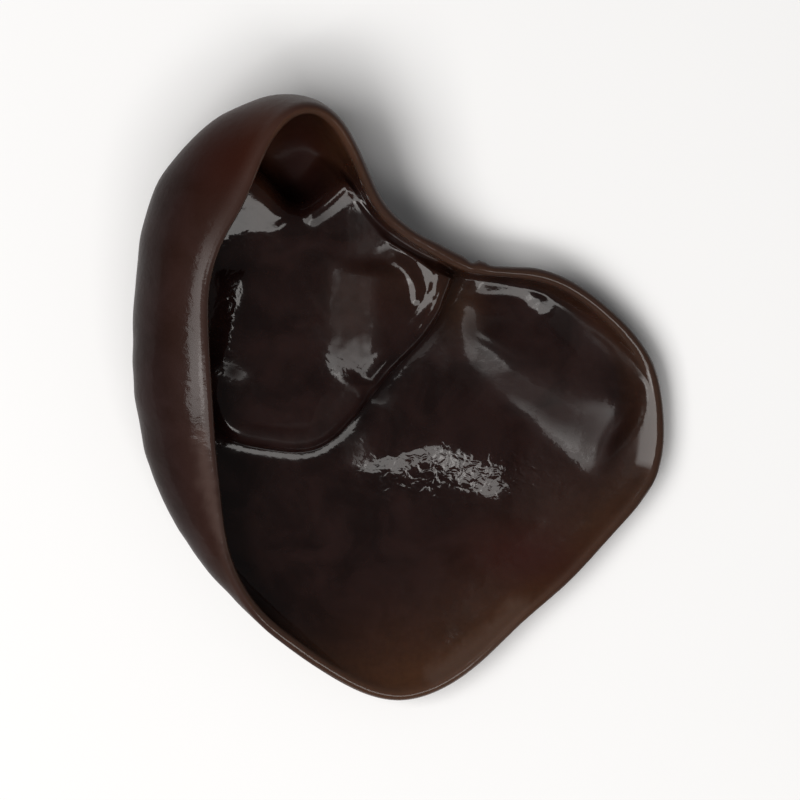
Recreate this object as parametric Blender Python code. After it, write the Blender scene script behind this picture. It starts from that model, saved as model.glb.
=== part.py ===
"""A rehydrated wood ear mushroom, lying on its back with its hollow up.

The fruiting body is one grown piece: a thin gelatinous sheet with an outline like that of an ear. Its left
wall rolls over, a swollen pleat stands over the hollow, and it is drawn together in a notch above the
short base by which it grew on the wood, which is cut off flat. The lowest part of the back has sagged
flat on the surface that the ear lies on.

The sheet starts as a flat round template. sheet_points() carries each point of it to its place in the ear.

Units are metres, +Z is up, +Y is towards the tip. The origin is under the middle of the ear.
"""

import math
from collections import namedtuple

import bmesh
import bpy
import numpy as np

MM = 0.001

# Driving dimensions of the sheet.
FLESH = 1.8 * MM  # thickness of the soaked sheet
MARGIN_FLESH = 1.3 * MM  # thickness at the free margin
THINNING = 0.7  # share of the template's radius beyond which the flesh thins to its margin
EDGE_FLESH = 1.4 * MM  # thickness where the walls are outermost
BED = 1.5 * MM  # height of the hollow's floor over the surface that the ear lies on
BOWL = 1.6 * MM  # how much the sheet lifts from the middle to the margin, on top of its walls
BOWL_POWER = 4  # how late it lifts
HEART = (-2.8 * MM, -2.9 * MM)  # middle of the hollow, where the template's centre goes
GATHER = 0.5  # how far the walls turn from square to the outline towards the heart
FLOOR_GATHER = 0.7  # how far the floor's meridians turn from there towards the heart
SPREAD = 20 * MM  # first control arm of a floor meridian
LEAD = 0.26  # last control arm of a floor meridian, as a share of its length
EVENING = 0.6  # how far the meridians take the stations' own directions from the heart

# One station of the outline: the outermost point of the ear there, how high the top of its wall is, how far
# in from the outline the wall starts to rise, and the angle at which the wall ends, where -90 is level,
# 0 upright and 90 bent right over. Millimetres and degrees.
Station = namedtuple("Station", "x y rise depth curl")

OUTLINE = (
    Station(29.4, -2.6, 3.8, 6.6, -39),  # right side
    Station(27.9, 3.8, 4.3, 4.4, -30),
    Station(23.2, 9.5, 5.2, 2.4, -14),
    Station(16.4, 13.7, 6.2, 1.5, -6),
    Station(9.0, 14.8, 7.4, 0.9, -4),
    Station(4.2, 16.8, 8.8, 1.6, -4),  # notch over the cut base
    Station(-1.0, 20.4, 10.8, 2.0, -6),
    Station(-3.9, 25.2, 13.2, 3.0, -4),
    Station(-6.9, 30.6, 15.4, 4.2, 6),
    Station(-12.0, 32.9, 16.6, 5.6, 40),  # tip
    Station(-19.2, 30.3, 16.8, 7.4, 78),
    Station(-25.0, 24.4, 16.2, 8.6, 82),
    Station(-27.6, 17.0, 15.2, 7.2, 86),
    Station(-28.3, 9.4, 14.4, 6.5, 91),  # left wall
    Station(-28.2, 1.6, 13.4, 6.4, 92),
    Station(-26.8, -6.2, 12.0, 6.1, 87),
    Station(-23.8, -13.4, 10.0, 5.6, 73),
    Station(-19.2, -20.0, 8.0, 5.2, 40),
    Station(-13.1, -26.1, 6.2, 5.6, 0),
    Station(-6.5, -31.0, 5.0, 6.4, -24),
    Station(0.4, -33.2, 4.4, 7.0, -38),  # lower end
    Station(7.5, -30.3, 4.4, 7.0, -38),
    Station(13.3, -25.0, 4.4, 6.6, -36),
    Station(18.7, -20.3, 4.3, 6.2, -34),
    Station(23.8, -14.9, 4.1, 6.0, -34),
    Station(28.3, -9.1, 3.9, 6.0, -38),
)

# The swollen pleat that stands over the hollow. Each point of its foot line has the half-width of the
# flank there and its tuck: 0 is an even slope, 0.3 upright, and more hangs over. Millimetres.
Flank = namedtuple("Flank", "x y half tuck")

PLEAT_HEIGHT = 5.4 * MM
PLEAT = (
    Flank(-23.5, 5.5, 3.2, 0.1),
    Flank(-19.8, -2.6, 2.4, 0.45),  # lower edge, over the field
    Flank(-14.6, -4.9, 2.0, 0.62),
    Flank(-9.2, -5.0, 2.0, 0.64),
    Flank(-5.0, -1.6, 2.2, 0.6),
    Flank(-1.6, 2.8, 2.2, 0.58),
    Flank(2.4, 6.8, 2.0, 0.52),
    Flank(5.0, 11.3, 1.8, 0.35),  # knob beside the notch
    Flank(6.4, 17.4, 2.4, 0.0),
    Flank(2.2, 22.8, 2.6, 0.0),  # merges with the wall
    Flank(-3.6, 24.6, 2.4, 0.0),
    Flank(-8.2, 22.0, 2.2, 0.2),
    Flank(-12.0, 20.9, 2.1, 0.35),  # upper edge, over the funnel of the tip
    Flank(-16.2, 24.0, 2.3, 0.2),
    Flank(-21.0, 25.0, 3.4, 0.0),
    Flank(-26.0, 15.6, 4.0, 0.0),
)
TUCK_END = 0.3  # how far up the walls the tuck has faded out
BACK_INSET = 1.7 * MM  # the hollow under the pleat starts this much further in
BACK_SLACK = 1.35  # its flank is this much wider
BACK_RISE = 0.78  # and it rises to this share of the pleat's height

# A long low swelling of the sheet: its height, its widths to the left and right of its line, and the length
# over which it fades at its ends. An even one falls at an even slope on its right, which grows flare times
# as wide, and as high, from the start of the line to its end. Millimetres.
Ridge = namedtuple("Ridge", "line height left right fade even flare", defaults=(False, 1.0))
ROUNDING = 0.25  # share of an even slope that each of its rounded ends takes

SWELLINGS = (
    # back of the pleat, from the knob down to the lower edge
    Ridge(((-2.6, 15.6), (-2.7, 11.0), (-2.6, 7.0), (-3.2, 3.6), (-5.0, 0.8)), 1.1, 3.0, 5.5, 2.4, True),
    # right-hand lobe, swept round from the notch
    Ridge(((8.7, 11.4), (9.4, 7.4), (11.2, 5.0), (14.6, 2.8), (19.6, 0.8), (27.0, -1.4)),
          0.31, 5.0, 1.7, 2.0, True, 4.4),
    # step across the field, below the pleat
    Ridge(((-6.0, -6.8), (-0.8, -6.0), (3.8, -4.6), (8.4, -6.0), (13.6, -8.2)),
          0.28, 4.0, 1.5, 3.4, True, 3.3),
)
# Thickenings, which the back doesn't follow.
WELTS = (
    # shoulder between the funnel of the tip and the roll
    Ridge(((-15.4, 26.0), (-14.4, 22.6), (-12.4, 19.4), (-11.4, 14.8)), 1.5, 1.0, 8.0, 3.2, True, 0.5),
    # slope down to the roll
    Ridge(((-16.2, 15.0), (-16.6, 11.0), (-17.8, 7.0), (-19.8, 2.6)), 0.75, 3.0, 3.9, 2.4, True, 0.5),
)

# The base by which it grew: the flesh is thick over it, and it is cut off level with the resting face.
BASE = (5.6 * MM, 8.6 * MM)
BASE_RADIUS = 3.2 * MM
BASE_EDGE = 2.6 * MM  # width of the rounded shoulder round the cut
MOUND_HEIGHT = 0.8 * MM
MOUND_RADIUS = 6.5 * MM

# Mesh of the template.
NORMAL_STEP = 2e-3  # template distance over which the sheet's slope is taken
CORE_CELLS = 20  # cells along a side of its square middle
CORE_RADIUS = 0.36  # share of the template's radius that the middle takes
RINGS = 16  # rings of cells from there out to the margin
RIM_CELLS = 3  # cells across the rounded margin
RIM_SHARE = 0.02  # share of the template's radius that the rounded margin takes
PLEAT_BAND = 3.8 * MM  # cells this near the pleat's foot line are halved
STEEP_TUCK = 0.3  # where its flank is at least this steep


def closed_spline(values):
    """A function of turns, 0 to 1, that passes smoothly through evenly spaced values and closes."""
    values = np.asarray(values, float)
    count = len(values)
    one = np.eye(count)
    knots = np.linalg.solve(4 * one + np.roll(one, 1, 0) + np.roll(one, -1, 0), 6 * values)

    def at(turns):
        place = np.asarray(turns) * count
        first = np.floor(place).astype(int)
        u = place - first
        weights = ((1 - u) ** 3, 3 * u**3 - 6 * u**2 + 4, -3 * u**3 + 3 * u**2 + 3 * u + 1, u**3)
        return sum(w * knots[(first + k - 1) % count] for k, w in enumerate(weights)) / 6

    return at


def open_spline(points, samples):
    """Points along a smooth curve through the given ones."""
    p = np.asarray(points, float)
    p = np.vstack([2 * p[0] - p[1], p, 2 * p[-1] - p[-2]])
    place = np.linspace(0, len(points) - 1 - 1e-9, samples)
    i = np.floor(place).astype(int)
    u = (place - i)[:, None]
    a, b, c, d = p[i], p[i + 1], p[i + 2], p[i + 3]
    cubic = 3 * b - a - 3 * c + d
    square = 2 * a - 5 * b + 4 * c - d
    return 0.5 * (2 * b + (c - a) * u + square * u**2 + cubic * u**3)


def smoothstep(x):
    x = np.clip(x, 0, 1)
    return x * x * (3 - 2 * x)


def even_ramp(x):
    """Rises from 0 to 1 while x goes from 0 to 1, at an even slope between rounded ends."""
    x = np.clip(x, 0, 1)
    end = 2 * ROUNDING * (1 - ROUNDING)
    middle = (x - ROUNDING / 2) / (1 - ROUNDING)
    return np.where(x < ROUNDING, x**2 / end, np.where(x > 1 - ROUNDING, 1 - (1 - x) ** 2 / end, middle))


def unit(vectors):
    return vectors / np.linalg.norm(vectors, axis=-1, keepdims=True)


def turned_left(vectors):
    return np.stack([-vectors[..., 1], vectors[..., 0]], -1)


OUTLINE_X = closed_spline([s.x * MM for s in OUTLINE])
OUTLINE_Y = closed_spline([s.y * MM for s in OUTLINE])
RISE = closed_spline([s.rise * MM for s in OUTLINE])
DEPTH = closed_spline([s.depth * MM for s in OUTLINE])
CURL = closed_spline([math.radians(s.curl) for s in OUTLINE])
TRUE_TURNS = [math.atan2(s.y * MM - HEART[1], s.x * MM - HEART[0]) / (2 * math.pi) % 1 for s in OUTLINE]
LAG = closed_spline([k / len(OUTLINE) - turns for k, turns in enumerate(TRUE_TURNS)])


def along_line(walk, places):
    """For each place: signed distance to the line, left positive, length along it and its left normal."""
    start = walk[:-1]
    run = np.diff(walk, axis=0)
    length = np.linalg.norm(run, axis=1)
    reached = np.concatenate([[0], np.cumsum(length)])
    away = places[:, None, :] - start[None, :, :]
    share = np.clip((away * run).sum(-1) / length**2, 0, 1)
    gap = away - share[..., None] * run
    nearest = (gap**2).sum(-1).argmin(1)
    row = np.arange(len(places))
    gap, share = gap[row, nearest], share[row, nearest]
    normal = turned_left(unit(run))
    ends = unit(np.vstack([normal[:1], normal[:-1] + normal[1:], normal[-1:]]))
    if np.allclose(walk[0], walk[-1]):
        ends[0] = ends[-1] = unit(normal[0] + normal[-1])
    side = unit(ends[nearest] * (1 - share)[:, None] + ends[nearest + 1] * share[:, None])
    distance = np.copysign(np.linalg.norm(gap, axis=-1), (gap * side).sum(-1))
    return distance, reached[nearest] + share * length[nearest], reached[-1], side


def pleat_line():
    """The foot line of the pleat as a closed walk of points."""
    turns = np.linspace(0, 1, 12 * len(PLEAT) + 1)
    x = closed_spline([f.x * MM for f in PLEAT])(turns)
    y = closed_spline([f.y * MM for f in PLEAT])(turns)
    return np.stack([x, y], -1)


def pleat_move(flat, back):
    """Rise of the sheet over the pleat at flat places and its sideways shift. back softens it."""
    distance, along, length, side = along_line(pleat_line(), flat)
    turns = along / length
    half = closed_spline([f.half * MM for f in PLEAT])(turns)
    tuck = closed_spline([f.tuck for f in PLEAT])(turns)
    if back:
        slope = smoothstep(((distance - BACK_INSET) / (half * BACK_SLACK) + 1) / 2)
        return BACK_RISE * PLEAT_HEIGHT * slope, 0.0
    u = np.clip(distance / half, -1, 1)
    return PLEAT_HEIGHT * smoothstep((u + 1) / 2), -side * (tuck * half * np.sin(math.pi * u))[:, None]


def ridge_rise(ridge, flat):
    """Height of one ridge at flat places."""
    walk = open_spline(np.array(ridge.line) * MM, 12 * len(ridge.line))
    distance, along, length, _ = along_line(walk, flat)
    grown = 1 + (ridge.flare - 1) * along / length
    left = np.exp(-((distance / (ridge.left * MM)) ** 2))
    if ridge.even:
        right = 1 - even_ramp(-distance / (ridge.right * MM * grown))
    else:
        right = np.exp(-((distance / (ridge.right * MM)) ** 2))
    fade = smoothstep(along / (ridge.fade * MM)) * smoothstep((length - along) / (ridge.fade * MM))
    return ridge.height * MM * grown * np.where(distance > 0, left, right) * fade


def plain_sheet(places):
    """Template places, in the unit disc, carried to the sheet without its pleat and ridges.

    Gives the places in space, the places on the sheet laid out flat, and how far up the wall they are,
    from 0 at its foot to 1 at the margin.
    """
    radius = np.linalg.norm(places, axis=-1)
    angle = np.arctan2(places[:, 1], places[:, 0])
    turns = (angle / (2 * math.pi)) % 1.0
    turns = turns + EVENING * LAG(turns)
    curl, depth, rise = CURL(turns), DEPTH(turns), RISE(turns)
    heart = np.array(HEART)

    edge = np.stack([OUTLINE_X(turns), OUTLINE_Y(turns)], -1)
    step = 0.5 / len(OUTLINE)  # half a station to either side gives the run of the outline
    behind = np.stack([OUTLINE_X(turns - step), OUTLINE_Y(turns - step)], -1)
    ahead = np.stack([OUTLINE_X(turns + step), OUTLINE_Y(turns + step)], -1)
    inward = unit((1 - GATHER) * turned_left(unit(ahead - behind)) + GATHER * unit(heart - edge))
    shown = np.cos(np.minimum(curl, 0))
    foot = edge + inward * ((EDGE_FLESH + depth) * shown)[:, None]

    # the share of the meridian that lies on the floor, so that cells stay alike in size
    floor_run = np.linalg.norm(foot - heart, axis=-1)
    high = (rise - BED - BOWL) / (1 + np.sin(np.minimum(curl, math.pi / 2)))
    wall_run = (curl + math.pi / 2) * (high + depth) / 2
    floor_share = floor_run / (floor_run + wall_run)

    out = np.stack([np.cos(angle), np.sin(angle)], -1)
    s = np.clip(radius / floor_share, 0, 1)[:, None]
    b = heart + out * (SPREAD * floor_share)[:, None]
    homeward = unit((1 - FLOOR_GATHER) * inward + FLOOR_GATHER * unit(heart - foot))
    c = foot + homeward * (floor_run * LEAD)[:, None]
    floor = (1 - s) ** 3 * heart + 3 * s * (1 - s) ** 2 * b + 3 * s**2 * (1 - s) * c + s**3 * foot

    up_wall = np.maximum(radius - floor_share, 0) / (1 - floor_share)
    bend = (curl + math.pi / 2) * up_wall - math.pi / 2
    plan = floor - inward * (depth * np.cos(bend))[:, None]
    height = BED + BOWL * radius**BOWL_POWER + high * (1 + np.sin(bend))
    flat = floor - inward * (wall_run * up_wall)[:, None]
    return np.column_stack([plan, height]), flat, up_wall


def plain_normals(places):
    step = NORMAL_STEP
    x = plain_sheet(places + [step, 0])[0] - plain_sheet(places - [step, 0])[0]
    y = plain_sheet(places + [0, step])[0] - plain_sheet(places - [0, step])[0]
    return unit(np.cross(x, y))


def sheet_points(places, through):
    """Template places carried into the ear. through is 0 on the inner face and 1 on the back."""
    plain, flat, up_wall = plain_sheet(places)
    normal = plain_normals(places)
    hold = 1 - smoothstep(up_wall)
    tuck_hold = 1 - smoothstep(up_wall / TUCK_END)
    from_base = np.linalg.norm(flat - BASE, axis=-1)
    mound = MOUND_HEIGHT * np.exp(-((from_base / MOUND_RADIUS) ** 2))
    swell = mound + sum(ridge_rise(ridge, flat) for ridge in SWELLINGS)
    welt = sum(ridge_rise(ridge, flat) for ridge in WELTS)

    rise, shift = pleat_move(flat, back=False)
    inner = plain.copy()
    inner[:, 2] += (rise + swell + welt) * hold
    inner[:, :2] += shift * tuck_hold[:, None]

    rise, _ = pleat_move(flat, back=True)
    stub = (MOUND_HEIGHT + FLESH) * smoothstep((BASE_RADIUS + BASE_EDGE - from_base) / BASE_EDGE)
    radius = np.linalg.norm(places, axis=-1)
    flesh = FLESH + (MARGIN_FLESH - FLESH) * smoothstep((radius - THINNING) / (1 - THINNING))
    back = plain - normal * flesh[:, None]
    back[:, 2] += (rise + swell) * hold - stub
    points = inner + (back - inner) * through[:, None]
    points[:, 2] = np.maximum(points[:, 2], 0)
    return points


def square_to_disc(x, y):
    return x * math.sqrt(1 - y * y / 2), y * math.sqrt(1 - x * x / 2)


def grow_ring(mesh, edges, radius, height):
    """Extrudes a ring of edges to a new radius and height and gives the new ring."""
    grown = bmesh.ops.extrude_edge_only(mesh, edges=edges)["geom"]
    ring = [e for e in grown if isinstance(e, bmesh.types.BMEdge) and e.is_boundary]
    for vert in {v for e in ring for v in e.verts}:
        vert.co.xy = vert.co.xy.normalized() * radius
        vert.co.z = height
    return ring


def template():
    """The flat template as a closed mesh in the unit disc, its inner face at z 0 and its back at z -1."""
    mesh = bmesh.new()
    margins = []
    for height in (0, -1):
        made = bmesh.ops.create_grid(mesh, x_segments=CORE_CELLS, y_segments=CORE_CELLS, size=1)
        for vert in made["verts"]:
            x, y = square_to_disc(vert.co.x, vert.co.y)
            vert.co = (x * CORE_RADIUS, y * CORE_RADIUS, height)
        ring = [e for e in {e for v in made["verts"] for e in v.link_edges} if e.is_boundary]
        for step in range(1, RINGS + 1):
            radius = CORE_RADIUS + (1 - RIM_SHARE - CORE_RADIUS) * step / RINGS
            ring = grow_ring(mesh, ring, radius, height)
        margins.append(ring)
    inner, back = margins
    for step in range(1, RIM_CELLS):
        turn = math.pi * step / RIM_CELLS
        radius = 1 - RIM_SHARE + RIM_SHARE * math.sin(turn)
        inner = grow_ring(mesh, inner, radius, (math.cos(turn) - 1) / 2)
    bmesh.ops.bridge_loops(mesh, edges=inner + back)
    bmesh.ops.recalc_face_normals(mesh, faces=mesh.faces)
    return mesh


def refine(mesh):
    """Halves the cells of the inner face along the pleat's steep flank."""
    flat = plain_sheet(np.array([v.co.xy for v in mesh.verts]))[1]
    distance, along, length, _ = along_line(pleat_line(), flat)
    near = np.abs(distance) < PLEAT_BAND
    steep = closed_spline([f.tuck for f in PLEAT])(along / length) > STEEP_TUCK
    chosen = {v for v, here in zip(mesh.verts, near & steep) if here and v.co.z == 0}
    edges = [e for e in mesh.edges if all(v in chosen for v in e.verts)]
    bmesh.ops.subdivide_edges(mesh, edges=edges, cuts=1, use_grid_fill=True)


def flesh_material():
    material = bpy.data.materials.new("wet_flesh")
    material.use_nodes = True
    shader = material.node_tree.nodes["Principled BSDF"]
    shader.inputs["Base Color"].default_value = (0.030, 0.014, 0.009, 1)
    shader.inputs["Roughness"].default_value = 0.18
    shader.inputs["Metallic"].default_value = 0.0
    return material


def make_ear(collection):
    shape = template()
    refine(shape)
    flat = np.array([v.co for v in shape.verts])
    for vert, place in zip(shape.verts, sheet_points(flat[:, :2], -flat[:, 2])):
        vert.co = place
    mesh = bpy.data.meshes.new("ear")
    shape.to_mesh(mesh)
    shape.free()
    mesh.shade_smooth()
    mesh.materials.append(flesh_material())
    ear = bpy.data.objects.new("ear", mesh)
    collection.objects.link(ear)
    return ear


def main():
    for obj in list(bpy.data.objects):
        bpy.data.objects.remove(obj, do_unlink=True)
    collection = bpy.data.collections.new("wood_ear_mushroom")
    bpy.context.scene.collection.children.link(collection)
    make_ear(collection)


main()
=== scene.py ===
"""Looks of a rehydrated wood ear mushroom that lies on its back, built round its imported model.

The ear is one sheet of wet dark jelly. A flat round coin is modelled by hand, ring by ring, and carried
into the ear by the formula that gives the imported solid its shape. The finer forms of the flesh are added on
the way: the lips of the pleat and the knob, wrinkles drawn in to the base, ripples and slack waves.

Sizes are millimetres in the dataclasses and metres in the meshes. +Z is up and +Y is towards the tip.
"""

import logging
import math
from dataclasses import dataclass, field
from enum import Enum
from typing import Callable

import bpy
import numpy as np
from mathutils import Matrix, Vector, noise


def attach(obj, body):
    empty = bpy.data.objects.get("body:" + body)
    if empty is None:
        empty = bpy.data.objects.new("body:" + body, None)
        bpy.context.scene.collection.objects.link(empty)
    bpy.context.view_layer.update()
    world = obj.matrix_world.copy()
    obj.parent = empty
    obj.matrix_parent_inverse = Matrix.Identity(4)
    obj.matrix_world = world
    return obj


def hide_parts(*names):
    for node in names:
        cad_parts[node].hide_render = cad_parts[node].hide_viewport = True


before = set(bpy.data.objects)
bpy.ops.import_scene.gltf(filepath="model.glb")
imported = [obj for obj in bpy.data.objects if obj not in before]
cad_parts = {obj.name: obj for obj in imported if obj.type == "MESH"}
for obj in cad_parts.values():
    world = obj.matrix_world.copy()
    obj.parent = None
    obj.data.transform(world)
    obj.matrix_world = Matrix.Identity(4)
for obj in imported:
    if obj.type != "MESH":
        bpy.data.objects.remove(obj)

LOG = logging.getLogger("wood_ear")
MM = 0.001
WATER_IOR = 1.33
JELLY_IOR = 1.4
NOISE_GAIN = 1.6  # brings the noise of mathutils to about -1 to 1
Colour = tuple[float, float, float]
Points = np.ndarray


class Face(Enum):
    """The two sides of the sheet, as their place through its thickness."""

    HOLLOW = 0.0
    BACK = 1.0


@dataclass(frozen=True)
class Station:
    """One station of the outline.

    x and y are the outermost point of the ear there, rise is the height of the wall's top, depth is how far
    in from the outline the wall starts, and curl is the angle at which it ends: -90 level, 0 upright, 90
    bent right over.
    """

    x: float
    y: float
    rise: float
    depth: float
    curl: float


@dataclass(frozen=True)
class Flank:
    """One point of the pleat's foot line, with the flank's half-width and how far it is tucked under."""

    x: float
    y: float
    half: float
    tuck: float


@dataclass(frozen=True)
class Ridge:
    """A long swelling: its line on the sheet laid flat, height, widths to the left and right, end fade.

    It is rounded on its left and falls at an even slope on its right. From the start of the line to its
    end it grows flare times as high, and its right flare times as wide.
    """

    line: tuple[tuple[float, float], ...]
    height: float
    left: float
    right: float
    fade: float
    flare: float = 1.0


@dataclass(frozen=True)
class Line:
    """A fine raised line: its route on the sheet laid flat, height, half-width and end fade."""

    route: tuple[tuple[float, float], ...]
    height: float
    width: float
    fade: float


@dataclass(frozen=True)
class Spot:
    """A round patch seen from above: where it is, how far it reaches, how far along y, and its strength."""

    x: float
    y: float
    reach: float
    strength: float
    reach_y: float = 0.0

    def weight(self, points: Points) -> Points:
        """Gives the patch's weight at points in metres, 1 at its middle times its strength.

        Args:
            points: Rows of x, y and, if there is one, z.

        Returns:
            One weight for each row.
        """
        across = (points[:, 0] / MM - self.x) / self.reach
        along = (points[:, 1] / MM - self.y) / (self.reach_y or self.reach)
        return self.strength * np.exp(-(across**2) - along**2)


@dataclass(frozen=True)
class Patch:
    """A patch with a drawn outline, seen from above.

    Its corners run anticlockwise, soft is the width over which its edge fades, strength is its weight
    inside, and ragged is how far its outline wanders.
    """

    corners: tuple[tuple[float, float], ...]
    soft: float
    strength: float
    ragged: float = 0.0
    ragged_wave: float = 0.9

    def weight(self, points: Points) -> Points:
        """Gives the patch's weight at points in metres.

        Args:
            points: Rows of x, y and z.

        Returns:
            The patch's strength inside it and 0 outside, for each row.
        """
        ring = np.array(self.corners + self.corners[:1]) * MM
        inside = Walk(ring).measure(points[:, :2])[0] / MM
        wander = self.ragged * ripple(points / MM, self.ragged_wave, 0.0) if self.ragged else 0.0
        return self.strength * smoothstep((inside + wander) / self.soft + 0.5)


def summed(spots: tuple[Spot | Patch, ...], points: Points) -> Points:
    """Gives the summed weight of spots and patches at points in metres."""
    return sum(spot.weight(points) for spot in spots)


def smoothstep(x: Points) -> Points:
    """Eases from 0 to 1 while x goes from 0 to 1."""
    x = np.clip(x, 0, 1)
    return x * x * (3 - 2 * x)


def between(x: Points, low: float, high: float) -> Points:
    """Eases from 0 to 1 while x goes from low to high."""
    return smoothstep((x - low) / (high - low))


def even_ramp(x: Points, rounding: float = 0.25) -> Points:
    """Rises from 0 to 1 while x goes from 0 to 1, at an even slope between rounded ends.

    Args:
        x: Where the ramp is taken.
        rounding: The share of the ramp that each rounded end takes.

    Returns:
        The ramp's value.
    """
    x = np.clip(x, 0, 1)
    end = 2 * rounding * (1 - rounding)
    middle = (x - rounding / 2) / (1 - rounding)
    return np.where(x < rounding, x**2 / end, np.where(x > 1 - rounding, 1 - (1 - x) ** 2 / end, middle))


def unit(vectors: Points) -> Points:
    """Gives rows of vectors the length 1."""
    return vectors / np.linalg.norm(vectors, axis=-1, keepdims=True)


def turned_left(vectors: Points) -> Points:
    """Turns rows of flat vectors a quarter turn to the left."""
    return np.stack([-vectors[..., 1], vectors[..., 0]], -1)


def closed_curve(values: list[float]) -> Callable[[Points], Points]:
    """Makes a smooth closed curve through evenly spaced values.

    Args:
        values: The values that it passes through, one after the other.

    Returns:
        A function of turns, from 0 at the first value to 1 back at it.
    """
    count = len(values)
    one = np.eye(count)
    knots = np.linalg.solve(4 * one + np.roll(one, 1, 0) + np.roll(one, -1, 0), 6 * np.array(values))

    def at(turns: Points) -> Points:
        place = np.asarray(turns) * count
        first = np.floor(place).astype(int)
        u = place - first
        weights = ((1 - u) ** 3, 3 * u**3 - 6 * u**2 + 4, -3 * u**3 + 3 * u**2 + 3 * u + 1, u**3)
        return sum(w * knots[(first + k - 1) % count] for k, w in enumerate(weights)) / 6

    return at


def open_curve(route: tuple[tuple[float, float], ...], per_step: int = 12) -> Points:
    """Lays points along a smooth curve through a route.

    Args:
        route: The points of the route in millimetres.
        per_step: How many points are laid for each point of the route.

    Returns:
        The points of the curve in metres.
    """
    p = np.array(route) * MM
    p = np.vstack([2 * p[0] - p[1], p, 2 * p[-1] - p[-2]])
    place = np.linspace(0, len(route) - 1 - 1e-9, per_step * len(route))
    i = np.floor(place).astype(int)
    u = (place - i)[:, None]
    a, b, c, d = p[i], p[i + 1], p[i + 2], p[i + 3]
    cubic = 3 * b - a - 3 * c + d
    square = 2 * a - 5 * b + 4 * c - d
    return 0.5 * (2 * b + (c - a) * u + square * u**2 + cubic * u**3)


@dataclass
class Walk:
    """A walk of points over the sheet laid flat, against which places are measured."""

    points: Points
    block: int = 8000

    def measure(self, places: Points) -> tuple[Points, Points, Points]:
        """Measures places against the walk, a block of them at a time.

        Args:
            places: Places on the sheet laid flat.

        Returns:
            Signed distances, left positive, lengths along the walk, and the walk's left normals.
        """
        blocks = [self._measure(places[k : k + self.block]) for k in range(0, len(places), self.block)]
        distance, along, side = zip(*blocks)
        return np.concatenate(distance), np.concatenate(along), np.concatenate(side)

    def length(self) -> float:
        """Gives the length of the walk."""
        return float(np.linalg.norm(np.diff(self.points, axis=0), axis=1).sum())

    def _measure(self, places: Points) -> tuple[Points, Points, Points]:
        """Measures one block of places; see measure."""
        run = np.diff(self.points, axis=0)
        length = np.linalg.norm(run, axis=1)
        reached = np.concatenate([[0], np.cumsum(length)])
        away = places[:, None, :] - self.points[None, :-1, :]
        share = np.clip((away * run).sum(-1) / length**2, 0, 1)
        gap = away - share[..., None] * run
        nearest = (gap**2).sum(-1).argmin(1)
        row = np.arange(len(places))
        gap, share = gap[row, nearest], share[row, nearest]
        normal = turned_left(unit(run))
        ends = unit(np.vstack([normal[:1], normal[:-1] + normal[1:], normal[-1:]]))
        if np.allclose(self.points[0], self.points[-1]):
            ends[0] = ends[-1] = unit(normal[0] + normal[-1])
        side = unit(ends[nearest] * (1 - share)[:, None] + ends[nearest + 1] * share[:, None])
        distance = np.copysign(np.linalg.norm(gap, axis=-1), (gap * side).sum(-1))
        return distance, reached[nearest] + share * length[nearest], side


def ripple(places: Points, wavelength: float, seed: float) -> Points:
    """Gives smooth random waves, between about -1 and 1.

    Args:
        places: Rows of two or three coordinates in millimetres.
        wavelength: The size of one swell in millimetres.
        seed: Another number gives other waves.

    Returns:
        The wave at each place.
    """
    flat = np.column_stack([places / wavelength, np.full(len(places), seed)])[:, :3]
    return np.array([noise.noise(Vector(p)) for p in flat]) * NOISE_GAIN


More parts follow.
